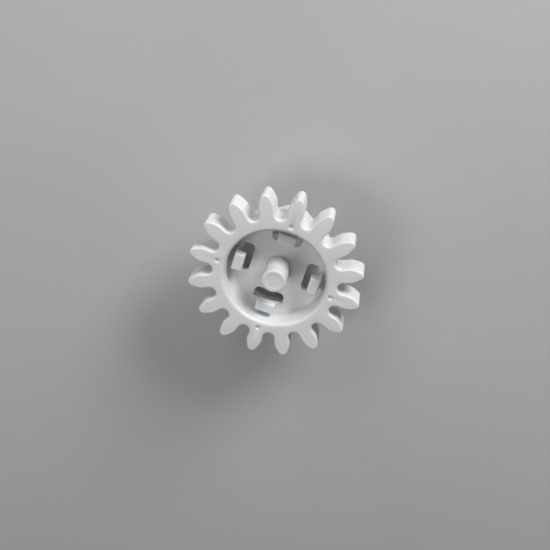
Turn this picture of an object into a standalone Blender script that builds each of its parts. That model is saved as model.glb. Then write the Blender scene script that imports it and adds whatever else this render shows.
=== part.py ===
"""Moulded spur gear on its spindle.

A toothed wheel carries four snap hooks in its cup, each standing behind a window in the web.
Wheel, hooks and hub turn together on a fixed spindle, held by a washer and an open retaining ring.

The spindle's foot stands on z = 0 and the common axis is the Z axis.
"""
import math

import bmesh
import bpy
from mathutils import Matrix, Vector

MM = 0.001

# Toothing
TEETH = 16
MODULE = 2.0 * MM
PRESSURE_ANGLE = math.radians(20)
PITCH_RADIUS = MODULE * TEETH / 2
TIP_RADIUS = PITCH_RADIUS + MODULE
ROOT_RADIUS = 12.8 * MM
TOOTH_THICKNESS = 2.95 * MM
FACE_WIDTH = 5.0 * MM
FLANK_STEPS = 4
TIP_STEPS = 3
ROOT_STEPS = 3

# Levels along the axis, measured backwards from the front face of the teeth
FRONT_FACE_HEIGHT = 16.4 * MM
CUP_DEPTH = 5.7 * MM
WEB_THICKNESS = 1.2 * MM
SKIRT_DEPTH = 9.2 * MM
COLLAR_DEPTH = 10.8 * MM
SLEEVE_TOP_DEPTH = 7.0 * MM
FLANGE_TOP_DEPTH = 11.2 * MM
FLANGE_THICKNESS = 1.4 * MM
HUB_END_DEPTH = 14.6 * MM
FOOT_THICKNESS = 1.5 * MM
SPINDLE_PROUD = 1.0 * MM

# Radii
CUP_RADIUS = 10.4 * MM
CUP_EDGE_ROUND = 0.7 * MM
CUP_FLOOR_ROUND = 0.8 * MM
SKIRT_RADIUS = 12.1 * MM
SKIRT_INNER_RADIUS = 10.2 * MM
LOBE_RADIUS = 4.35 * MM
LOBE_CENTRE_RADIUS = 8.75 * MM
SPINDLE_RADIUS = 2.5 * MM
SPINDLE_TIP_ROUND = 0.3 * MM
COLLAR_RADIUS = 5.6 * MM
SLEEVE_RADIUS = 4.8 * MM
FLANGE_RADIUS = 10.4 * MM
FOOT_RADIUS = 8.0 * MM
EDGE_CHAMFER = 0.3 * MM

# Windows in the web and the hooks that stand behind them
HOOKS = 4
WINDOW_WIDTH = 6.4 * MM
WINDOW_INNER = 5.75 * MM
WINDOW_OUTER_RADIUS = 8.58 * MM
WINDOW_INNER_ROUND = 1.05 * MM
WINDOW_OUTER_ROUND = 0.3 * MM
HOOK_WIDTH = 3.9 * MM
HOOK_NOSE_RADIUS = 7.0 * MM
HOOK_BACK_RADIUS = 9.2 * MM
HOOK_TOP_DEPTH = 1.9 * MM
HOOK_NOSE_THICKNESS = 1.65 * MM
HOOK_POST_THICKNESS = 0.6 * MM
HOOK_EDGE_ROUND = 0.4 * MM
HOOK_FILLET = 0.3 * MM

# Ejector marks on the front face, one outside each window
MARK_CIRCLE_RADIUS = 12.0 * MM
MARK_RADIUS = 0.5 * MM
MARK_DEPTH = 0.4 * MM

# Spindle retention inside the hub
RUNNING_CLEARANCE = 0.1 * MM
RING_TOP_DEPTH = 8.45 * MM
RING_THICKNESS = 0.5 * MM
RING_INNER_RADIUS = 2.0 * MM
RING_OUTER_RADIUS = 3.4 * MM
RING_OPENING = math.radians(100)
RING_SLACK = 0.15 * MM
GROOVE_RADIUS = 1.8 * MM
WASHER_TOP_DEPTH = 9.15 * MM
WASHER_THICKNESS = 0.4 * MM
WASHER_RADIUS = 3.9 * MM
POCKET_RADIUS = 4.1 * MM
POCKET_DEPTH = 9.7 * MM

ROUND_STEPS = 64
SMALL_STEPS = 32
CUT_MARGIN = 1.0 * MM
MERGE = 0.00001
WELD = 0.000001
SHARP_ANGLE = math.radians(35)


def level(depth):
    """Height of a level that lies this far behind the front face of the teeth."""
    return FRONT_FACE_HEIGHT - depth


def polar(radius, angle):
    return (radius * math.cos(angle), radius * math.sin(angle))


def arc(centre, radius, start, end, steps):
    """Points along an arc, both ends included."""
    angles = [start + (end - start) * i / steps for i in range(steps + 1)]
    return [(centre[0] + radius * math.cos(a), centre[1] + radius * math.sin(a)) for a in angles]


def hook_angle(index):
    """Direction of a hook from the axis; the first one points along +Y."""
    return math.pi / 2 - index * 2 * math.pi / HOOKS


# ---------------------------------------------------------------- scene and materials

def clear_scene():
    for item in list(bpy.data.objects):
        bpy.data.objects.remove(item, do_unlink=True)


def make_collection(name):
    collection = bpy.data.collections.new(name)
    bpy.context.scene.collection.children.link(collection)
    return collection


def make_material(name, colour, roughness, metallic=0.0):
    material = bpy.data.materials.new(name)
    material.use_nodes = True
    shader = material.node_tree.nodes["Principled BSDF"]
    shader.inputs["Base Color"].default_value = (*colour, 1.0)
    shader.inputs["Roughness"].default_value = roughness
    shader.inputs["Metallic"].default_value = metallic
    material.diffuse_color = (*colour, 1.0)
    return material


clear_scene()
PARTS = make_collection("spur_gear")
CUTTERS = make_collection("cutters")
WHITE_ACETAL = make_material("white_acetal", (0.80, 0.81, 0.82), 0.38)
HUB_ACETAL = make_material("hub_acetal", (0.78, 0.79, 0.80), 0.42)
SPINDLE_ACETAL = make_material("spindle_acetal", (0.82, 0.82, 0.82), 0.35)
NATURAL_NYLON = make_material("natural_nylon", (0.78, 0.75, 0.66), 0.45)
SPRING_STEEL = make_material("spring_steel", (0.42, 0.42, 0.43), 0.35, 1.0)


# ---------------------------------------------------------------- ways of making a solid

def place(item, collection, material=None):
    collection.objects.link(item)
    if material:
        item.data.materials.append(material)
    if collection is CUTTERS:
        item.hide_render = True
        item.display_type = "WIRE"
    return item


def shade(item):
    item.data.shade_smooth()
    item.data.set_sharp_from_angle(angle=SHARP_ANGLE)


def plate(name, outlines, thickness, matrix, collection, material=None):
    """A flat solid of these closed outlines, centred on its own plane, welded into one mesh."""
    curve = bpy.data.curves.new(name + "_outline", "CURVE")
    curve.dimensions = "2D"
    curve.fill_mode = "BOTH"
    curve.extrude = thickness / 2
    for outline in outlines:
        spline = curve.splines.new("POLY")
        spline.points.add(len(outline) - 1)
        for point, (x, y) in zip(spline.points, outline):
            point.co = (x, y, 0.0, 1.0)
        spline.use_cyclic_u = True
    source = bpy.data.objects.new(name + "_outline", curve)
    source.matrix_world = matrix
    bpy.context.scene.collection.objects.link(source)
    bpy.context.view_layer.update()
    evaluated = source.evaluated_get(bpy.context.evaluated_depsgraph_get())
    mesh = bpy.data.meshes.new_from_object(evaluated)
    mesh.name = name
    solid = bmesh.new()
    solid.from_mesh(mesh)
    bmesh.ops.remove_doubles(solid, verts=solid.verts, dist=WELD)
    bmesh.ops.recalc_face_normals(solid, faces=solid.faces)
    solid.to_mesh(mesh)
    solid.free()
    mesh.materials.clear()
    item = bpy.data.objects.new(name, mesh)
    item.matrix_world = source.matrix_world
    bpy.data.objects.remove(source, do_unlink=True)
    return place(item, collection, material)


def flat_plate(name, outline, bottom, top, collection, material=None):
    """A plate that lies level between two heights."""
    matrix = Matrix.Translation((0.0, 0.0, (bottom + top) / 2))
    return plate(name, [outline], top - bottom, matrix, collection, material)


def turned(name, profile, steps, collection, material=None):
    """A solid turned about the axis, whose profile runs down its outer side.

    A profile that starts on the axis ends on it too; any other one is closed into a ring.
    """
    mesh = bpy.data.meshes.new(name)
    points = [(radius, 0.0, height) for radius, height in profile]
    edges = [(i, i + 1) for i in range(len(points) - 1)]
    is_ring = profile[0][0] > 0
    if is_ring:
        edges.append((len(points) - 1, 0))
    mesh.from_pydata(points, edges, [])
    item = place(bpy.data.objects.new(name, mesh), collection, material)
    screw = item.modifiers.new("turn", "SCREW")
    screw.axis = "Z"
    screw.angle = 2 * math.pi
    screw.steps = steps
    screw.render_steps = steps
    screw.use_merge_vertices = True
    screw.merge_threshold = MERGE
    screw.use_smooth_shade = True
    return item


def round_cutter(name, radius, bottom, top, steps, centre=(0.0, 0.0)):
    """A plain cylinder for cutting or joining."""
    mesh = bpy.data.meshes.new(name)
    solid = bmesh.new()
    middle = Matrix.Translation((centre[0], centre[1], (bottom + top) / 2))
    bmesh.ops.create_cone(solid, cap_ends=True, segments=steps, radius1=radius, radius2=radius,
                          depth=top - bottom, matrix=middle)
    solid.to_mesh(mesh)
    solid.free()
    return place(bpy.data.objects.new(name, mesh), CUTTERS)


def combine(item, other, operation):
    boolean = item.modifiers.new(other.name, "BOOLEAN")
    boolean.object = other
    boolean.operation = operation
    boolean.solver = "EXACT"


# ---------------------------------------------------------------- toothing

BASE_RADIUS = PITCH_RADIUS * math.cos(PRESSURE_ANGLE)


def involute(angle):
    return math.tan(angle) - angle


def pressure_angle_at(radius):
    return math.acos(BASE_RADIUS / radius)


def half_tooth_angle(radius):
    """Half the angle that a tooth takes up at this radius, on or outside the base circle."""
    at_pitch = TOOTH_THICKNESS / 2 / PITCH_RADIUS
    return at_pitch + involute(PRESSURE_ANGLE) - involute(pressure_angle_at(radius))


def tip_circle(radius):
    """Centre distance and radius of the circle that touches both flanks at this gear radius."""
    half = half_tooth_angle(radius)
    x, y = polar(radius, half)
    lean = half - pressure_angle_at(radius)
    reach = y / math.cos(lean)
    return x + reach * math.sin(lean), reach


def flank_end_radius():
    """Gear radius where the flank gives way to a round tip on the tip circle, found by halving."""
    low = PITCH_RADIUS
    high = TIP_RADIUS
    while high - low > WELD:
        middle = (low + high) / 2
        if sum(tip_circle(middle)) < TIP_RADIUS:
            low = middle
        else:
            high = middle
    return low


def half_tooth():
    """The upper side of the tooth along +X, from the middle of the root gap to the tip."""
    gap_direction = math.pi / TEETH
    gap_half = gap_direction - half_tooth_angle(BASE_RADIUS)
    root_round = ROOT_RADIUS * math.sin(gap_half) / (1 - math.sin(gap_half))
    root_centre = polar(ROOT_RADIUS + root_round, gap_direction)
    inward = gap_direction + math.pi
    root = arc(root_centre, root_round, inward, inward + math.pi / 2 - gap_half, ROOT_STEPS)

    end = flank_end_radius()
    radii = [BASE_RADIUS + (end - BASE_RADIUS) * i / FLANK_STEPS for i in range(FLANK_STEPS)]
    flank = [polar(radius, half_tooth_angle(radius)) for radius in radii]

    centre, radius = tip_circle(end)
    x, y = polar(end, half_tooth_angle(end))
    tip = arc((centre, 0.0), radius, math.atan2(y, x - centre), 0.0, TIP_STEPS)
    return root + flank + tip


def gear_outline():
    """The whole toothed outline, with a tooth along each axis."""
    upper = half_tooth()
    lower = [(x, -y) for x, y in upper]
    tooth = lower + upper[-2:0:-1]
    outline = []
    for index in range(TEETH):
        turn = Matrix.Rotation(index * 2 * math.pi / TEETH, 2)
        outline.extend(tuple(turn @ Vector(point)) for point in tooth)
    return outline


# ---------------------------------------------------------------- gear wheel

def window_outline():
    """A window with a straight inner side and an outer side round the axis; x runs outwards."""
    half = WINDOW_WIDTH / 2
    side = half - WINDOW_OUTER_ROUND
    corner_x = math.sqrt((WINDOW_OUTER_RADIUS - WINDOW_OUTER_ROUND) ** 2 - side ** 2)
    lean = math.atan2(side, corner_x)
    inner_x = WINDOW_INNER + WINDOW_INNER_ROUND
    inner_y = half - WINDOW_INNER_ROUND
    quarter = math.pi / 2
    outline = arc((0.0, 0.0), WINDOW_OUTER_RADIUS, -lean, lean, 8)[1:-1]
    outline += arc((corner_x, side), WINDOW_OUTER_ROUND, lean, quarter, 2)
    outline += arc((inner_x, inner_y), WINDOW_INNER_ROUND, quarter, 2 * quarter, 4)
    outline += arc((inner_x, -inner_y), WINDOW_INNER_ROUND, 2 * quarter, 3 * quarter, 4)
    outline += arc((corner_x, -side), WINDOW_OUTER_ROUND, 3 * quarter, 4 * quarter - lean, 2)
    return outline


def cup_profile():
    """The hollow in the front: a rounded mouth edge, a straight wall and a rounded floor corner."""
    floor = level(CUP_DEPTH)
    mouth_centre = (CUP_RADIUS + CUP_EDGE_ROUND, level(CUP_EDGE_ROUND))
    floor_centre = (CUP_RADIUS - CUP_FLOOR_ROUND, floor + CUP_FLOOR_ROUND)
    above = level(-CUT_MARGIN)
    mouth = arc(mouth_centre, CUP_EDGE_ROUND, math.pi / 2, math.pi, 2)
    corner = arc(floor_centre, CUP_FLOOR_ROUND, 0.0, -math.pi / 2, 3)
    return [(0.0, above), (mouth_centre[0], above)] + mouth + corner + [(0.0, floor)]


def collar_tube(web_back):
    """The collar behind the web that the hub's sleeve stands in."""
    top = web_back + WEB_THICKNESS / 2
    end = level(COLLAR_DEPTH)
    inner = SLEEVE_RADIUS + RUNNING_CLEARANCE
    profile = [(inner, top), (COLLAR_RADIUS, top), (COLLAR_RADIUS, end), (inner, end)]
    return turned("collar", profile, ROUND_STEPS, CUTTERS)


def make_gear_wheel():
    web_back = level(CUP_DEPTH + WEB_THICKNESS)
    skirt_end = level(SKIRT_DEPTH)
    wheel = flat_plate("gear_wheel", gear_outline(), level(FACE_WIDTH), level(0.0), PARTS,
                       WHITE_ACETAL)

    skirt_top = level(FACE_WIDTH / 2)
    lobe_top = level(FACE_WIDTH * 0.7)
    combine(wheel, round_cutter("skirt", SKIRT_RADIUS, skirt_end, skirt_top, ROUND_STEPS), "UNION")
    for index in range(HOOKS):
        centre = polar(LOBE_CENTRE_RADIUS, hook_angle(index))
        lobe = round_cutter(f"lobe_{index + 1}", LOBE_RADIUS, skirt_end, lobe_top,
                            SMALL_STEPS, centre)
        combine(wheel, lobe, "UNION")

    cup = turned("cup", cup_profile(), ROUND_STEPS, CUTTERS)
    combine(wheel, cup, "DIFFERENCE")
    recess = round_cutter("recess", SKIRT_INNER_RADIUS, skirt_end - CUT_MARGIN, web_back,
                          ROUND_STEPS)
    combine(wheel, recess, "DIFFERENCE")
    combine(wheel, collar_tube(web_back), "UNION")
    bore = round_cutter("bore", SPINDLE_RADIUS + RUNNING_CLEARANCE, web_back - CUT_MARGIN,
                        level(CUP_DEPTH - CUT_MARGIN), SMALL_STEPS)
    combine(wheel, bore, "DIFFERENCE")

    window_height = WEB_THICKNESS + 2 * CUT_MARGIN
    middle = level(CUP_DEPTH + WEB_THICKNESS / 2)
    for index in range(HOOKS):
        angle = hook_angle(index)
        matrix = Matrix.Translation((0.0, 0.0, middle)) @ Matrix.Rotation(angle, 4, "Z")
        window = plate(f"window_{index + 1}", [window_outline()], window_height, matrix, CUTTERS)
        combine(wheel, window, "DIFFERENCE")
        mark = round_cutter(f"ejector_mark_{index + 1}", MARK_RADIUS, level(MARK_DEPTH),
                            level(-CUT_MARGIN), 12, polar(MARK_CIRCLE_RADIUS, angle))
        combine(wheel, mark, "DIFFERENCE")
    shade(wheel)


# ---------------------------------------------------------------- hooks and hub

def make_hub():
    """A sleeve that stands in the wheel's collar, with a flange behind the skirt."""
    hub_end = level(HUB_END_DEPTH)
    flange_bottom = level(FLANGE_TOP_DEPTH + FLANGE_THICKNESS)
    flange_top = level(FLANGE_TOP_DEPTH)
    profile = [
        (POCKET_RADIUS, level(POCKET_DEPTH)),
        (POCKET_RADIUS, level(SLEEVE_TOP_DEPTH)),
        (SLEEVE_RADIUS - EDGE_CHAMFER, level(SLEEVE_TOP_DEPTH)),
        (SLEEVE_RADIUS, level(SLEEVE_TOP_DEPTH + EDGE_CHAMFER)),
        (SLEEVE_RADIUS, flange_top),
        (FLANGE_RADIUS - EDGE_CHAMFER, flange_top),
        (FLANGE_RADIUS, flange_top - EDGE_CHAMFER),
        (FLANGE_RADIUS, flange_bottom + EDGE_CHAMFER),
        (FLANGE_RADIUS - EDGE_CHAMFER, flange_bottom),
        (SLEEVE_RADIUS, flange_bottom),
        (SLEEVE_RADIUS, hub_end + EDGE_CHAMFER),
        (SLEEVE_RADIUS - EDGE_CHAMFER, hub_end),
        (SPINDLE_RADIUS + RUNNING_CLEARANCE, hub_end),
        (SPINDLE_RADIUS + RUNNING_CLEARANCE, level(POCKET_DEPTH)),
    ]
    hub = turned("coupling_hub", profile, ROUND_STEPS, PARTS, HUB_ACETAL)
    shade(hub)


def hook_outline():
    """Side view of a hook: a thin post whose nose reaches inwards over the window.

    x runs outwards from the axis and y upwards; the foot clears the floor so that it can bend.
    """
    top = level(HOOK_TOP_DEPTH)
    under_nose = top - HOOK_NOSE_THICKNESS
    foot = level(CUP_DEPTH) + RUNNING_CLEARANCE
    post_front = HOOK_BACK_RADIUS - HOOK_POST_THICKNESS
    quarter = math.pi / 2
    nose_centre = (HOOK_NOSE_RADIUS + HOOK_EDGE_ROUND, top - HOOK_EDGE_ROUND)
    back_centre = (HOOK_BACK_RADIUS - HOOK_EDGE_ROUND, top - HOOK_EDGE_ROUND)
    fillet_centre = (post_front - HOOK_FILLET, under_nose - HOOK_FILLET)
    outline = [(HOOK_NOSE_RADIUS, under_nose)]
    outline += arc(nose_centre, HOOK_EDGE_ROUND, 2 * quarter, quarter, 3)
    outline += arc(back_centre, HOOK_EDGE_ROUND, quarter, 0.0, 3)
    outline += [(HOOK_BACK_RADIUS, foot), (post_front, foot)]
    outline += arc(fillet_centre, HOOK_FILLET, 0.0, quarter, 3)
    return outline


def make_hooks():
    """Each hook bends outwards about the middle of its foot, so that is where its origin lies."""
    pivot_radius = HOOK_BACK_RADIUS - HOOK_POST_THICKNESS / 2
    pivot_height = level(CUP_DEPTH) + RUNNING_CLEARANCE
    outline = [(x - pivot_radius, y - pivot_height) for x, y in hook_outline()]
    upright = Matrix.Rotation(math.pi / 2, 4, "X")
    for index in range(HOOKS):
        angle = hook_angle(index)
        pivot = Vector((*polar(pivot_radius, angle), pivot_height))
        matrix = Matrix.Translation(pivot) @ Matrix.Rotation(angle, 4, "Z") @ upright
        hook = plate(f"snap_hook_{index + 1}", [outline], HOOK_WIDTH, matrix, PARTS, WHITE_ACETAL)
        shade(hook)


# ---------------------------------------------------------------- spindle and what holds the hub on it

def make_spindle():
    tip = level(-SPINDLE_PROUD)
    groove_top = level(RING_TOP_DEPTH - RING_SLACK)
    groove_bottom = level(RING_TOP_DEPTH + RING_THICKNESS + RING_SLACK)
    tip_centre = (SPINDLE_RADIUS - SPINDLE_TIP_ROUND, tip - SPINDLE_TIP_ROUND)
    profile = [(0.0, tip)]
    profile += arc(tip_centre, SPINDLE_TIP_ROUND, math.pi / 2, 0.0, 3)
    profile += [
        (SPINDLE_RADIUS, groove_top),
        (GROOVE_RADIUS, groove_top),
        (GROOVE_RADIUS, groove_bottom),
        (SPINDLE_RADIUS, groove_bottom),
        (SPINDLE_RADIUS, FOOT_THICKNESS),
        (FOOT_RADIUS - EDGE_CHAMFER, FOOT_THICKNESS),
        (FOOT_RADIUS, FOOT_THICKNESS - EDGE_CHAMFER),
        (FOOT_RADIUS, EDGE_CHAMFER),
        (FOOT_RADIUS - EDGE_CHAMFER, 0.0),
        (0.0, 0.0),
    ]
    spindle = turned("spindle", profile, ROUND_STEPS, PARTS, SPINDLE_ACETAL)
    shade(spindle)


def make_retaining_ring():
    """An open ring of spring steel that sits in the spindle's groove."""
    half_opening = RING_OPENING / 2
    around = 2 * math.pi - half_opening
    centre = (0.0, 0.0)
    outline = arc(centre, RING_OUTER_RADIUS, half_opening, around, SMALL_STEPS)
    outline += arc(centre, RING_INNER_RADIUS, around, half_opening, SMALL_STEPS)
    ring = flat_plate("retaining_ring", outline, level(RING_TOP_DEPTH + RING_THICKNESS),
                      level(RING_TOP_DEPTH), PARTS, SPRING_STEEL)
    shade(ring)


def make_thrust_washer():
    bottom = level(WASHER_TOP_DEPTH + WASHER_THICKNESS)
    top = level(WASHER_TOP_DEPTH)
    inner = SPINDLE_RADIUS + RUNNING_CLEARANCE
    profile = [(inner, top), (WASHER_RADIUS, top), (WASHER_RADIUS, bottom), (inner, bottom)]
    washer = turned("thrust_washer", profile, ROUND_STEPS, PARTS, NATURAL_NYLON)
    shade(washer)


make_gear_wheel()
make_hooks()
make_hub()
make_spindle()
make_retaining_ring()
make_thrust_washer()
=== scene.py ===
"""Looks of the moulded spur gear: camera, soft studio light, fine moulded surfaces and materials.

Everything is in metres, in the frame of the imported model: the spindle's foot stands on z = 0, the
gear's axis is Z and the open front faces up. Depths are measured down from the front tooth face.
"""
import math

import bmesh
import bpy
from mathutils import Matrix, Vector


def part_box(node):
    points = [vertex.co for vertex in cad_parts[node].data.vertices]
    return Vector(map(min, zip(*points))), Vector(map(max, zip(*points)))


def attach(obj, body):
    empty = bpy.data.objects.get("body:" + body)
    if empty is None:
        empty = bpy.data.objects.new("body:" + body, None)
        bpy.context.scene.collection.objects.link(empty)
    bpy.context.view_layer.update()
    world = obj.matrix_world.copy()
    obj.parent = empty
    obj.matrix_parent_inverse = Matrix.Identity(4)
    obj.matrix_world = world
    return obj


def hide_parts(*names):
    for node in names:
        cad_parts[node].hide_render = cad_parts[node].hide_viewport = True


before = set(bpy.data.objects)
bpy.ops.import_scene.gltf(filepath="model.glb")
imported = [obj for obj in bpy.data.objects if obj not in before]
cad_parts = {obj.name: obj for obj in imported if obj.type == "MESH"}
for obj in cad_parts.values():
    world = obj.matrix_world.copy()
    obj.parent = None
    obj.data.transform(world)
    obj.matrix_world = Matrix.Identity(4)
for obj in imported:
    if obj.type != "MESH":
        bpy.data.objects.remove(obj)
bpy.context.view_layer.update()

MM = 0.001
TURN = 2 * math.pi

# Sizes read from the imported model
WHEEL_LOW, WHEEL_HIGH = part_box("gear_wheel")
SPINDLE_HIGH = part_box("spindle")[1]
HUB_LOW, HUB_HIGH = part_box("coupling_hub")
RING_LOW, RING_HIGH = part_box("retaining_ring")
WASHER_LOW, WASHER_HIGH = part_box("thrust_washer")
HOOK_LOW, HOOK_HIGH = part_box("snap_hook_1")
FRONT = WHEEL_HIGH.z
TIP_RADIUS = WHEEL_HIGH.x
COLLAR_DEPTH = FRONT - WHEEL_LOW.z

# Toothing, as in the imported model
TEETH = 16
MODULE = 2.0 * MM
PRESSURE_ANGLE = math.radians(20)
PITCH_RADIUS = MODULE * TEETH / 2
BASE_RADIUS = PITCH_RADIUS * math.cos(PRESSURE_ANGLE)
ROOT_RADIUS = 12.8 * MM
TOOTH_THICKNESS = 2.95 * MM
FACE_WIDTH = 5.0 * MM

# Wheel body
CUP_RADIUS = 10.4 * MM
CUP_DEPTH = 5.7 * MM
CUP_MOUTH_ROUND = 0.75 * MM
CUP_FLOOR_ROUND = 0.9 * MM
WEB_THICKNESS = 1.2 * MM
SKIRT_DEPTH = 9.2 * MM
SKIRT_RADIUS = 12.1 * MM
SKIRT_INNER_RADIUS = 10.2 * MM
SKIRT_EDGE_ROUND = 0.3 * MM
LOBE_RADIUS = 4.35 * MM
LOBE_CENTRE_RADIUS = 8.75 * MM
TOOTH_EDGE_ROUND = 0.32 * MM
BACK_EDGE_ROUND = 0.18 * MM
BORE_RADIUS = 2.53 * MM
BORE_EDGE_ROUND = 0.06 * MM
COLLAR_RADIUS = 5.6 * MM
COLLAR_INNER_RADIUS = 4.9 * MM
COLLAR_EDGE_ROUND = 0.15 * MM

# Windows and hooks
HOOKS = 4
WINDOW_WIDTH = 6.4 * MM
WINDOW_INNER = 5.75 * MM
WINDOW_OUTER_RADIUS = 8.58 * MM
WINDOW_INNER_ROUND = 1.05 * MM
WINDOW_OUTER_ROUND = 0.3 * MM
WINDOW_EDGE_ROUND = 0.12 * MM
HOOK_NOSE_THICKNESS = 1.65 * MM
HOOK_POST_THICKNESS = 0.6 * MM
HOOK_EDGE_ROUND = 0.4 * MM
HOOK_CORNER_ROUND = 0.12 * MM
HOOK_FILLET = 0.3 * MM
MARK_CIRCLE_RADIUS = 12.0 * MM
MARK_RADIUS = 0.5 * MM
MARK_DEPTH = 0.4 * MM

# Spindle, hub and the small parts between them
SPINDLE_RADIUS = 2.5 * MM
SPINDLE_TIP_ROUND = 0.3 * MM
SPINDLE_BORE_RADIUS = 2.6 * MM
FOOT_THICKNESS = 1.5 * MM
GROOVE_RADIUS = 1.8 * MM
GROOVE_SLACK = 0.15 * MM
SLEEVE_RADIUS = 4.8 * MM
FLANGE_TOP_DEPTH = 11.2 * MM
FLANGE_THICKNESS = 1.4 * MM
POCKET_RADIUS = 4.1 * MM
POCKET_DEPTH = 9.7 * MM
RING_INNER_RADIUS = 2.0 * MM
RING_OUTER_RADIUS = 3.4 * MM
RING_HALF_OPENING = math.radians(50)

# Camera and floor
CAMERA_DISTANCE = 152.5 * MM
CAMERA_AZIMUTH = math.radians(90.5)
CAMERA_ELEVATION = math.radians(62.6)
CAMERA_ROLL = math.radians(162.1)
CAMERA_LENS = 49.7
FLOOR_SIZE = 6.0

# Fineness of the meshes
FLANK_STEPS = 8
TIP_STEPS = 7
ROOT_STEPS = 7
ROUND_STEPS = 6
CIRCLE_STEPS = 192
CUT_MARGIN = 1.0 * MM
SHARP_ANGLE = math.radians(40)


def level(depth):
    """Height of a level that lies this far behind the front tooth face."""
    return FRONT - depth


def polar(radius, angle):
    return (radius * math.cos(angle), radius * math.sin(angle))


def arc(centre, radius, start, end, steps):
    """Points along an arc, both ends included."""
    angles = [start + (end - start) * i / steps for i in range(steps + 1)]
    return [(centre[0] + radius * math.cos(a), centre[1] + radius * math.sin(a)) for a in angles]


def corner(centre, radius, start, steps=ROUND_STEPS, turn=-1):
    """A quarter round of a turned profile; it runs clockwise unless turn is 1."""
    return arc(centre, radius, start, start + turn * math.pi / 2, steps)


def hook_angle(index):
    """Direction of a hook from the axis; the first one points along +Y."""
    return math.pi / 2 - index * TURN / HOOKS


# ---------------------------------------------------------------- tooth outline

def involute(angle):
    return math.tan(angle) - angle


def pressure_angle_at(radius):
    return math.acos(BASE_RADIUS / radius)


def half_tooth_angle(radius):
    at_pitch = TOOTH_THICKNESS / 2 / PITCH_RADIUS
    return at_pitch + involute(PRESSURE_ANGLE) - involute(pressure_angle_at(radius))


def tip_circle(radius):
    """Centre distance and radius of the circle that touches both flanks at this gear radius."""
    half = half_tooth_angle(radius)
    x, y = polar(radius, half)
    lean = half - pressure_angle_at(radius)
    reach = y / math.cos(lean)
    return x + reach * math.sin(lean), reach


def flank_end_radius():
    """Gear radius where the flank gives way to a round tip on the tip circle, found by halving."""
    low = PITCH_RADIUS
    high = TIP_RADIUS
    for _ in range(40):
        middle = (low + high) / 2
        if sum(tip_circle(middle)) < TIP_RADIUS:
            low = middle
        else:
            high = middle
    return low


def half_tooth():
    """Points and outward directions of a tooth's upper side, from the root gap's middle to the tip."""
    gap_direction = TURN / 2 / TEETH
    gap_half = gap_direction - half_tooth_angle(BASE_RADIUS)
    root_round = ROOT_RADIUS * math.sin(gap_half) / (1 - math.sin(gap_half))
    root_centre = polar(ROOT_RADIUS + root_round, gap_direction)
    inward = gap_direction + math.pi
    result = []
    for i in range(ROOT_STEPS + 1):
        angle = inward + (math.pi / 2 - gap_half) * i / ROOT_STEPS
        x, y = polar(root_round, angle)
        outward = polar(-1.0, angle)
        result.append(((root_centre[0] + x, root_centre[1] + y), outward))

    # No point at the flank's start: the outline is radial there, and every point needs its own angle.
    end = flank_end_radius()
    for i in range(1, FLANK_STEPS):
        radius = BASE_RADIUS + (end - BASE_RADIUS) * i / FLANK_STEPS
        half = half_tooth_angle(radius)
        outward = polar(1.0, half - pressure_angle_at(radius) + math.pi / 2)
        result.append((polar(radius, half), outward))

    centre, radius = tip_circle(end)
    x, y = polar(end, half_tooth_angle(end))
    start = math.atan2(y, x - centre)
    for i in range(TIP_STEPS + 1):
        angle = start * (1 - i / TIP_STEPS)
        x, y = polar(radius, angle)
        result.append(((centre + x, y), polar(1.0, angle)))
    return result


def gear_outline():
    """The whole outline as (point, outward direction) pairs, starting in the middle of a root gap."""
    upper = half_tooth()
    lower = [((x, -y), (nx, -ny)) for (x, y), (nx, ny) in upper]
    tooth = lower + upper[-2:0:-1]
    outline = []
    for index in range(TEETH):
        turn = Matrix.Rotation(index * TURN / TEETH, 2)
        for point, outward in tooth:
            outline.append((turn @ Vector(point), turn @ Vector(outward)))
    return outline


# ---------------------------------------------------------------- mesh tools

def mesh_object(name, vertices, faces):
    mesh = bpy.data.meshes.new(name)
    mesh.from_pydata(vertices, [], faces)
    solid = bmesh.new()
    solid.from_mesh(mesh)
    bmesh.ops.remove_doubles(solid, verts=solid.verts, dist=1e-8)
    bmesh.ops.recalc_face_normals(solid, faces=solid.faces)
    solid.to_mesh(mesh)
    solid.free()
    item = bpy.data.objects.new(name, mesh)
    bpy.context.scene.collection.objects.link(item)
    return item


def loft(name, rings, closed=False):
    """A solid skin over rings of equal counts: capped at both ends, or joined round into a torus."""
    count = len(rings[0])
    vertices = [point for ring in rings for point in ring]
    faces = []
    last = len(rings) if closed else len(rings) - 1
    for r in range(last):
        low = r * count
        high = (r + 1) % len(rings) * count
        for i in range(count):
            j = (i + 1) % count
            faces.append((low + i, low + j, high + j, high + i))
    if not closed:
        faces.append(tuple(reversed(range(count))))
        faces.append(tuple(range(len(vertices) - count, len(vertices))))
    return mesh_object(name, vertices, faces)


def turned(name, profile, centre=(0.0, 0.0), steps=CIRCLE_STEPS):
    """A solid turned about a vertical axis from (radius, height) points.

    A profile that starts and ends on the axis is capped there; any other one closes into a ring.
    """
    on_axis = profile[0][0] == 0.0
    inner = profile[1:-1] if on_axis else profile
    rings = []
    for radius, height in inner:
        ring = [polar(radius, TURN * i / steps) for i in range(steps)]
        rings.append([(centre[0] + x, centre[1] + y, height) for x, y in ring])
    return loft(name, rings, closed=not on_axis)


def finish_surface(item):
    """Smooth shading with flat faces kept flat."""
    item.data.shade_smooth()
    item.data.set_sharp_from_angle(angle=SHARP_ANGLE)
    weighted = item.modifiers.new("weighted_normals", "WEIGHTED_NORMAL")
    weighted.keep_sharp = True
    weighted.weight = 100


def round_edges(item, width, segments):
    """A small round on every edge sharper than the faces of a round wall."""
    bevel = item.modifiers.new("edge_round", "BEVEL")
    bevel.width = width
    bevel.segments = segments
    bevel.limit_method = "ANGLE"
    bevel.angle_limit = math.radians(28)
    bevel.harden_normals = False


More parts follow.
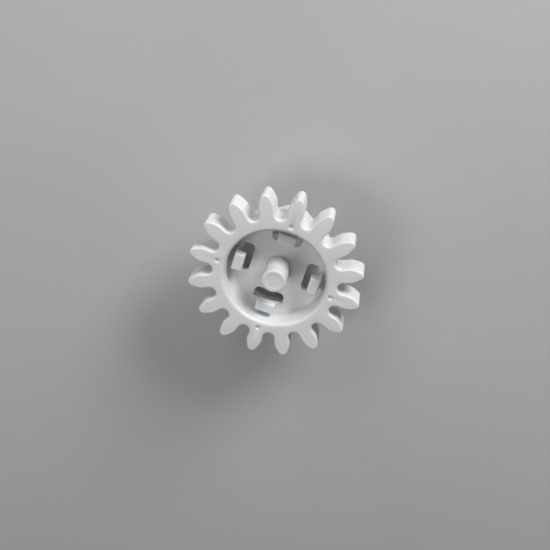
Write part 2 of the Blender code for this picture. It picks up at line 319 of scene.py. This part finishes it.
def install(item, material, body, node):
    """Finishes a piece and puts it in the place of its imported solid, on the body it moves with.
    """
    finish_surface(item)
    item.data.materials.clear()
    item.data.materials.append(material)
    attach(item, body)
    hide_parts(node)


def cut(item, cutter):
    """Takes the cutter out of the item and removes it."""
    boolean = item.modifiers.new("cut", "BOOLEAN")
    boolean.object = cutter
    boolean.operation = "DIFFERENCE"
    boolean.solver = "EXACT"
    bpy.context.view_layer.update()
    evaluated = item.evaluated_get(bpy.context.evaluated_depsgraph_get())
    mesh = bpy.data.meshes.new_from_object(evaluated)
    item.modifiers.clear()
    item.data = mesh
    bpy.data.objects.remove(cutter, do_unlink=True)


# ---------------------------------------------------------------- gear wheel

OUTLINE = gear_outline()


def directions(inset):
    """Directions of the points of the tooth outline once it is drawn in by this much.

    Round rings next to it have their points in these directions, so that no face folds over.
    """
    return [math.atan2(point.y - inset * out.y, point.x - inset * out.x) for point, out in OUTLINE]


FRONT_DIRECTIONS = directions(TOOTH_EDGE_ROUND)
BACK_DIRECTIONS = directions(BACK_EDGE_ROUND)


def front_ring(radius, depth):
    return [(*polar(radius, angle), level(depth)) for angle in FRONT_DIRECTIONS]


def back_ring(radius, depth):
    return [(*polar(radius, angle), level(depth)) for angle in BACK_DIRECTIONS]


def tooth_ring(inset, depth):
    return [(point.x - inset * out.x, point.y - inset * out.y, level(depth))
            for point, out in OUTLINE]


def skirt_radius_at(angle):
    """Outer radius of the skirt: a circle with a rounded lobe behind each window."""
    quarter = TURN / HOOKS
    aside = (angle + quarter / 2) % quarter - quarter / 2
    across = LOBE_CENTRE_RADIUS * math.sin(aside)
    if abs(across) >= LOBE_RADIUS:
        return SKIRT_RADIUS
    lobe = LOBE_CENTRE_RADIUS * math.cos(aside) + math.sqrt(LOBE_RADIUS ** 2 - across ** 2)
    blend = 0.25 * MM
    gap = max(0.0, 1 - abs(lobe - SKIRT_RADIUS) / blend)
    return max(lobe, SKIRT_RADIUS) + gap * gap * blend / 4


def skirt_ring(inset, depth):
    return [(*polar(skirt_radius_at(angle) - inset, angle), level(depth)) for angle in BACK_DIRECTIONS]


def rounding(steps=ROUND_STEPS):
    """(share of the radius still inset, share gone down) along a quarter round from flat to wall."""
    angles = [math.pi / 2 * i / steps for i in range(steps + 1)]
    return [(1 - math.sin(a), 1 - math.cos(a)) for a in angles]


def wheel_rings():
    """Rings from the bore's front edge out over cup, teeth and skirt and back through the bore."""
    web_back = CUP_DEPTH + WEB_THICKNESS
    rings = []
    for inset, down in reversed(rounding(3)):
        rings.append(front_ring(BORE_RADIUS + BORE_EDGE_ROUND * inset,
                                CUP_DEPTH + BORE_EDGE_ROUND * down))
    for inset, rise in rounding():
        rings.append(front_ring(CUP_RADIUS - CUP_FLOOR_ROUND * inset,
                                CUP_DEPTH - CUP_FLOOR_ROUND * rise))
    for inset, down in reversed(rounding()):
        rings.append(front_ring(CUP_RADIUS + CUP_MOUTH_ROUND * inset, CUP_MOUTH_ROUND * down))
    for inset, down in rounding():
        rings.append(tooth_ring(TOOTH_EDGE_ROUND * inset, TOOTH_EDGE_ROUND * down))
    for inset, down in reversed(rounding(3)):
        rings.append(tooth_ring(BACK_EDGE_ROUND * inset, FACE_WIDTH - BACK_EDGE_ROUND * down))
    rings.append(skirt_ring(0.0, FACE_WIDTH))
    for inset, down in reversed(rounding(4)):
        rings.append(skirt_ring(SKIRT_EDGE_ROUND * inset, SKIRT_DEPTH - SKIRT_EDGE_ROUND * down))
    for inset, down in rounding(4):
        rings.append(back_ring(SKIRT_INNER_RADIUS + SKIRT_EDGE_ROUND * inset,
                               SKIRT_DEPTH - SKIRT_EDGE_ROUND * down))
    for inset, rise in reversed(rounding(4)):
        rings.append(back_ring(SKIRT_INNER_RADIUS - SKIRT_EDGE_ROUND * inset,
                               web_back + SKIRT_EDGE_ROUND * rise))
    rings.append(back_ring(COLLAR_RADIUS, web_back))
    for inset, down in reversed(rounding(3)):
        rings.append(back_ring(COLLAR_RADIUS - COLLAR_EDGE_ROUND * inset,
                               COLLAR_DEPTH - COLLAR_EDGE_ROUND * down))
    for inset, down in rounding(3):
        rings.append(back_ring(COLLAR_INNER_RADIUS + COLLAR_EDGE_ROUND * inset,
                               COLLAR_DEPTH - COLLAR_EDGE_ROUND * down))
    rings.append(back_ring(COLLAR_INNER_RADIUS, web_back))
    for inset, down in rounding(3):
        rings.append(back_ring(BORE_RADIUS + BORE_EDGE_ROUND * inset,
                               web_back - BORE_EDGE_ROUND * down))
    return rings


def window_outline(grow):
    """A window's outline, grown outwards by this much; x is the distance from the axis."""
    side = WINDOW_WIDTH / 2 - WINDOW_OUTER_ROUND
    corner_x = math.sqrt((WINDOW_OUTER_RADIUS - WINDOW_OUTER_ROUND) ** 2 - side ** 2)
    lean = math.atan2(side, corner_x)
    inner_x = WINDOW_INNER + WINDOW_INNER_ROUND
    inner_y = WINDOW_WIDTH / 2 - WINDOW_INNER_ROUND
    quarter = math.pi / 2
    small = WINDOW_OUTER_ROUND + grow
    large = WINDOW_INNER_ROUND + grow
    outline = arc((0.0, 0.0), WINDOW_OUTER_RADIUS + grow, -lean, lean, 16)[1:-1]
    outline += arc((corner_x, side), small, lean, quarter, 5)
    outline += arc((inner_x, inner_y), large, quarter, 2 * quarter, 8)
    outline += arc((inner_x, -inner_y), large, 2 * quarter, 3 * quarter, 8)
    outline += arc((corner_x, -side), small, 3 * quarter, 4 * quarter - lean, 5)
    return outline


def window_cutter(index):
    """A cutter whose ends flare, so that it leaves rounded edges on both faces of the web."""
    web_back = CUP_DEPTH + WEB_THICKNESS
    flare = rounding(4)
    sections = [(WINDOW_EDGE_ROUND, CUP_DEPTH - CUT_MARGIN)]
    sections += [(WINDOW_EDGE_ROUND * inset, CUP_DEPTH + WINDOW_EDGE_ROUND * down)
                 for inset, down in flare]
    sections += [(WINDOW_EDGE_ROUND * inset, web_back - WINDOW_EDGE_ROUND * down)
                 for inset, down in reversed(flare)]
    sections.append((WINDOW_EDGE_ROUND, web_back + CUT_MARGIN))
    turn = Matrix.Rotation(hook_angle(index), 3, "Z")
    rings = []
    for grow, depth in sections:
        rings.append([turn @ Vector((x, y, level(depth))) for x, y in window_outline(grow)])
    return loft(f"window_cutter_{index + 1}", rings)


def mark_cutter(index):
    """A shallow round-bottomed pit with a softened rim, left by an ejector pin."""
    rim = 0.12 * MM
    bowl = 0.8 * MARK_RADIUS
    bowl_height = 0.7 * bowl
    profile = [(0.0, level(-CUT_MARGIN)), (MARK_RADIUS + rim, level(-CUT_MARGIN))]
    profile += [(MARK_RADIUS + rim * inset, level(rim * down)) for inset, down in rounding(3)]
    for inset, rise in reversed(rounding(4)):
        profile.append((MARK_RADIUS - bowl * inset, level(MARK_DEPTH - bowl_height * rise)))
    profile.append((0.0, level(MARK_DEPTH)))
    centre = polar(MARK_CIRCLE_RADIUS, hook_angle(index))
    return turned(f"mark_cutter_{index + 1}", profile, centre, 32)


def make_wheel(material):
    wheel = loft("gear_wheel_moulding", wheel_rings(), closed=True)
    for index in range(HOOKS):
        cut(wheel, window_cutter(index))
        cut(wheel, mark_cutter(index))
    install(wheel, material, "wheel_assembly", "gear_wheel")


# ---------------------------------------------------------------- hooks, hub, spindle and small parts

def hook_outline(drop, inset):
    """Side view of a hook with its top lowered and its upright sides drawn in: x runs outwards."""
    nose = HOOK_LOW.y + inset
    back = HOOK_HIGH.y - inset
    top = HOOK_HIGH.z - drop - HOOK_EDGE_ROUND
    under_nose = HOOK_HIGH.z - HOOK_NOSE_THICKNESS
    post_front = HOOK_HIGH.y - HOOK_POST_THICKNESS + inset
    fillet_centre = (post_front - HOOK_FILLET, under_nose - HOOK_FILLET)
    quarter = math.pi / 2
    outline = [(nose, under_nose)]
    outline += arc((nose + HOOK_EDGE_ROUND, top), HOOK_EDGE_ROUND, 2 * quarter, quarter, ROUND_STEPS)
    outline += arc((back - HOOK_EDGE_ROUND, top), HOOK_EDGE_ROUND, quarter, 0.0, ROUND_STEPS)
    outline += [(back, HOOK_LOW.z), (post_front, HOOK_LOW.z)]
    outline += arc(fillet_centre, HOOK_FILLET, 0.0, quarter, ROUND_STEPS)
    return outline


def make_hook(index, material):
    """Outlines are set side by side across the hook; the end ones are smaller, to round its ends."""
    name = f"snap_hook_{index + 1}"
    turn = Matrix.Rotation(hook_angle(index), 3, "Z")
    half = (HOOK_HIGH.x - HOOK_LOW.x) / 2
    rings = []
    for end, shares in ((-1, reversed(rounding())), (1, rounding())):
        for inset, down in shares:
            side = end * (half - HOOK_EDGE_ROUND * inset)
            outline = hook_outline(HOOK_EDGE_ROUND * down, HOOK_CORNER_ROUND * down)
            rings.append([turn @ Vector((x, side, z)) for x, z in outline])
    hook = loft(name + "_moulding", rings)
    install(hook, material, f"hook_{index + 1}", name)


def make_hub(material):
    flange_top = level(FLANGE_TOP_DEPTH)
    flange_bottom = level(FLANGE_TOP_DEPTH + FLANGE_THICKNESS)
    pocket_floor = level(POCKET_DEPTH)
    bottom = HUB_LOW.z
    top = HUB_HIGH.z
    outer = HUB_HIGH.x
    edge = 0.3 * MM
    fillet = 0.5 * MM
    small = 0.1 * MM
    profile = [(POCKET_RADIUS, pocket_floor)]
    profile += corner((POCKET_RADIUS + small, top - small), small, math.pi, 3)
    profile += corner((SLEEVE_RADIUS - edge, top - edge), edge, math.pi / 2)
    profile += corner((SLEEVE_RADIUS + fillet, flange_top + fillet), fillet, math.pi, turn=1)
    profile += corner((outer - edge, flange_top - edge), edge, math.pi / 2)
    profile += corner((outer - edge, flange_bottom + edge), edge, 0.0)
    profile += corner((SLEEVE_RADIUS + fillet, flange_bottom - fillet), fillet, math.pi / 2, turn=1)
    profile += corner((SLEEVE_RADIUS - edge, bottom + edge), edge, 0.0)
    profile += corner((SPINDLE_BORE_RADIUS + small, bottom + small), small, 1.5 * math.pi, 3)
    profile.append((SPINDLE_BORE_RADIUS, pocket_floor))
    hub = turned("coupling_hub_moulding", profile)
    install(hub, material, "wheel_assembly", "coupling_hub")


def make_spindle(material):
    """The end of the spindle is rounded and has a faint dished middle, left by the mould."""
    tip = SPINDLE_HIGH.z
    shaft = SPINDLE_RADIUS
    groove_top = RING_HIGH.z + GROOVE_SLACK
    groove_bottom = RING_LOW.z - GROOVE_SLACK
    outer = SPINDLE_HIGH.x
    edge = 0.3 * MM
    dish = 1.55 * MM
    dish_depth = 0.05 * MM
    profile = [(0.0, tip - dish_depth), (dish - 0.2 * MM, tip - dish_depth)]
    profile += [(dish - 0.1 * MM, tip - dish_depth * 0.7), (dish, tip - dish_depth * 0.1)]
    profile += corner((shaft - SPINDLE_TIP_ROUND, tip - SPINDLE_TIP_ROUND), SPINDLE_TIP_ROUND,
                      math.pi / 2)
    profile += [(shaft, groove_top), (GROOVE_RADIUS, groove_top)]
    profile += [(GROOVE_RADIUS, groove_bottom), (shaft, groove_bottom)]
    profile += corner((shaft + edge, FOOT_THICKNESS + edge), edge, math.pi, turn=1)
    profile += corner((outer - edge, FOOT_THICKNESS - edge), edge, math.pi / 2)
    profile += corner((outer - edge, edge), edge, 0.0)
    profile.append((0.0, 0.0))
    spindle = turned("spindle_moulding", profile)
    install(spindle, material, "spindle_assembly", "spindle")


def make_retaining_ring(material):
    around = TURN - RING_HALF_OPENING
    outline = arc((0.0, 0.0), RING_OUTER_RADIUS, RING_HALF_OPENING, around, 64)
    outline += arc((0.0, 0.0), RING_INNER_RADIUS, around, RING_HALF_OPENING, 64)
    rings = [[(x, y, height) for x, y in outline] for height in (RING_LOW.z, RING_HIGH.z)]
    ring = loft("retaining_ring_stamping", rings)
    round_edges(ring, 0.06 * MM, 2)
    install(ring, material, "spindle_assembly", "retaining_ring")


def make_thrust_washer(material):
    inner = SPINDLE_BORE_RADIUS
    outer = WASHER_HIGH.x
    low = WASHER_LOW.z
    high = WASHER_HIGH.z
    edge = 0.08 * MM
    profile = corner((inner + edge, high - edge), edge, math.pi, 3)
    profile += corner((outer - edge, high - edge), edge, math.pi / 2, 3)
    profile += corner((outer - edge, low + edge), edge, 0.0, 3)
    profile += corner((inner + edge, low + edge), edge, 1.5 * math.pi, 3)
    washer = turned("thrust_washer_stamping", profile)
    install(washer, material, "spindle_assembly", "thrust_washer")


# ---------------------------------------------------------------- materials

def colour(value):
    """A colour with full opacity, from three numbers or from one for a grey."""
    red, green, blue = value if isinstance(value, tuple) else (value, value, value)
    return (red, green, blue, 1.0)


class Nodes:
    """A material's node tree with short calls for adding and joining nodes."""

    def __init__(self, name):
        self.material = bpy.data.materials.new(name)
        self.material.use_nodes = True
        self.tree = self.material.node_tree
        self.shader = self.tree.nodes["Principled BSDF"]
        self.place = self.add("ShaderNodeTexCoord").outputs["Object"]

    def add(self, kind, **settings):
        node = self.tree.nodes.new(kind)
        for key, value in settings.items():
            setattr(node, key, value)
        return node

    def join(self, source, target):
        self.tree.links.new(source, target)

    def noise(self, size, detail=2.0, roughness=0.5, stretch=(1.0, 1.0, 1.0)):
        """Noise whose features are about this many metres across."""
        mapping = self.add("ShaderNodeMapping")
        mapping.inputs["Scale"].default_value = stretch
        self.join(self.place, mapping.inputs["Vector"])
        node = self.add("ShaderNodeTexNoise")
        node.inputs["Scale"].default_value = 1 / size
        node.inputs["Detail"].default_value = detail
        node.inputs["Roughness"].default_value = roughness
        self.join(mapping.outputs["Vector"], node.inputs["Vector"])
        return node.outputs["Fac"]

    def ramp(self, source, low, high, start=0.3, end=0.7):
        """Runs from one number or colour to another as the source goes from start to end."""
        node = self.add("ShaderNodeValToRGB")
        first, last = node.color_ramp.elements
        first.position = start
        last.position = end
        first.color = colour(low)
        last.color = colour(high)
        self.join(source, node.inputs["Fac"])
        return node.outputs["Color"]

    def bump(self, source, height, strength=1.0, below=None):
        node = self.add("ShaderNodeBump")
        node.inputs["Distance"].default_value = height
        node.inputs["Strength"].default_value = strength
        self.join(source, node.inputs["Height"])
        if below is not None:
            self.join(below, node.inputs["Normal"])
        return node.outputs["Normal"]


def moulded_plastic(name, clean, aged, rough_low, rough_high, glow=0.12):
    """Natural acetal or nylon: faint clouding, a satin skin with fine grain and slow waviness."""
    nodes = Nodes(name)
    shader = nodes.shader
    clouds = nodes.noise(7 * MM, 3.0, 0.55)
    specks = nodes.noise(0.35 * MM, 2.0, 0.6)
    base = nodes.ramp(clouds, aged, clean, 0.3, 0.62)
    speck_tone = nodes.ramp(specks, tuple(0.94 * c for c in clean), clean, 0.25, 0.42)
    mixed = nodes.add("ShaderNodeMix", data_type="RGBA", blend_type="MULTIPLY")
    mixed.inputs["Factor"].default_value = 0.35
    nodes.join(base, mixed.inputs["A"])
    nodes.join(speck_tone, mixed.inputs["B"])
    nodes.join(mixed.outputs["Result"], shader.inputs["Base Color"])
    handled = nodes.noise(3 * MM, 4.0, 0.6)
    nodes.join(nodes.ramp(handled, rough_low, rough_high), shader.inputs["Roughness"])
    grain = nodes.bump(nodes.noise(0.12 * MM, 2.0, 0.5), 0.004 * MM, 0.6)
    waves = nodes.bump(nodes.noise(2.6 * MM, 1.0, 0.4), 0.03 * MM, 0.5, grain)
    nodes.join(waves, shader.inputs["Normal"])
    shader.inputs["IOR"].default_value = 1.48
    shader.inputs["Subsurface Weight"].default_value = glow
    shader.inputs["Subsurface Radius"].default_value = (1.0, 0.9, 0.8)
    shader.inputs["Subsurface Scale"].default_value = 1.2 * MM
    return nodes.material


def stamped_steel(name):
    """Spring steel with drawn grain and a few dull spots."""
    nodes = Nodes(name)
    shader = nodes.shader
    grain = nodes.noise(0.5 * MM, 3.0, 0.6, (1.0, 12.0, 12.0))
    nodes.join(nodes.ramp(grain, (0.36, 0.36, 0.37), (0.50, 0.50, 0.51)),
               shader.inputs["Base Color"])
    nodes.join(nodes.ramp(nodes.noise(1.0 * MM, 3.0), 0.28, 0.48), shader.inputs["Roughness"])
    nodes.join(nodes.bump(grain, 0.004 * MM, 0.5), shader.inputs["Normal"])
    shader.inputs["Metallic"].default_value = 1.0
    return nodes.material


def pale_floor(name):
    """A plain pale matt board."""
    nodes = Nodes(name)
    tone = nodes.ramp(nodes.noise(60 * MM, 3.0), (0.50, 0.50, 0.50), (0.53, 0.53, 0.53))
    nodes.join(tone, nodes.shader.inputs["Base Color"])
    nodes.shader.inputs["Roughness"].default_value = 0.8
    return nodes.material


# ---------------------------------------------------------------- floor, camera and light

def direction(azimuth, elevation):
    across = math.cos(elevation)
    return Vector((across * math.cos(azimuth), across * math.sin(azimuth), math.sin(elevation)))


def make_camera():
    """Looks down into the cup; rolled so that the nearest side of the wheel is at the top."""
    aim = Vector((-0.1 * MM, 1.0 * MM, FRONT))
    back = direction(CAMERA_AZIMUTH, CAMERA_ELEVATION)
    level_up = (Vector((0, 0, 1)) - back.z * back).normalized()
    aside = level_up.cross(back)
    up = math.cos(CAMERA_ROLL) * level_up + math.sin(CAMERA_ROLL) * aside
    data = bpy.data.cameras.new("camera")
    data.lens = CAMERA_LENS
    data.sensor_width = 36.0
    data.clip_start = 1 * MM
    data.clip_end = 20.0
    camera = bpy.data.objects.new("camera", data)
    bpy.context.scene.collection.objects.link(camera)
    turn = Matrix((up.cross(back), up, back)).transposed().to_4x4()
    camera.matrix_world = Matrix.Translation(aim + CAMERA_DISTANCE * back) @ turn
    bpy.context.scene.camera = camera


def make_floor():
    vertices = [(x * FLOOR_SIZE / 2, y * FLOOR_SIZE / 2, 0.0) for x, y in
                ((-1, -1), (1, -1), (1, 1), (-1, 1))]
    floor = mesh_object("floor", vertices, [(0, 1, 2, 3)])
    floor.data.materials.append(pale_floor("pale_board"))


def make_light(name, azimuth, elevation, distance, size, power):
    """A square soft light aimed at the middle of the gear.

    Azimuth and elevation are in degrees, distance and size in metres and power in watts.
    """
    data = bpy.data.lights.new(name, "AREA")
    data.shape = "SQUARE"
    data.size = size
    data.energy = power
    light = bpy.data.objects.new(name, data)
    bpy.context.scene.collection.objects.link(light)
    back = direction(math.radians(azimuth), math.radians(elevation))
    target = Vector((0, 0, FRONT / 2))
    light.location = target + distance * back
    light.rotation_euler = back.to_track_quat("Z", "Y").to_euler()
    light.visible_camera = False


def make_world(strength):
    world = bpy.data.worlds.new("studio")
    world.use_nodes = True
    background = world.node_tree.nodes["Background"]
    background.inputs["Color"].default_value = (0.93, 0.96, 1.0, 1.0)
    background.inputs["Strength"].default_value = strength
    bpy.context.scene.world = world


make_camera()
make_floor()
make_world(0.03)
make_light("key", 70, 20, 0.45, 0.16, 1.85)
make_light("second", 125, 30, 0.45, 0.2, 0.5)
make_light("side", 200, 60, 0.45, 0.2, 0.55)
make_light("top_fill", 330, 75, 0.5, 0.4, 0.13)
bpy.context.scene.view_settings.view_transform = "Standard"

wheel_plastic = moulded_plastic("wheel_acetal", (0.80, 0.81, 0.82), (0.765, 0.775, 0.775), 0.34, 0.46)
hub_plastic = moulded_plastic("hub_acetal", (0.79, 0.80, 0.81), (0.75, 0.76, 0.76), 0.36, 0.48)
spindle_plastic = moulded_plastic("spindle_acetal", (0.81, 0.81, 0.81), (0.77, 0.77, 0.77), 0.30, 0.42)
nylon = moulded_plastic("natural_nylon", (0.78, 0.75, 0.66), (0.73, 0.69, 0.58), 0.40, 0.52, 0.2)
steel = stamped_steel("spring_steel")

make_wheel(wheel_plastic)
make_hub(hub_plastic)
for hook_index in range(HOOKS):
    make_hook(hook_index, wheel_plastic)
make_spindle(spindle_plastic)
make_retaining_ring(steel)
make_thrust_washer(nylon)
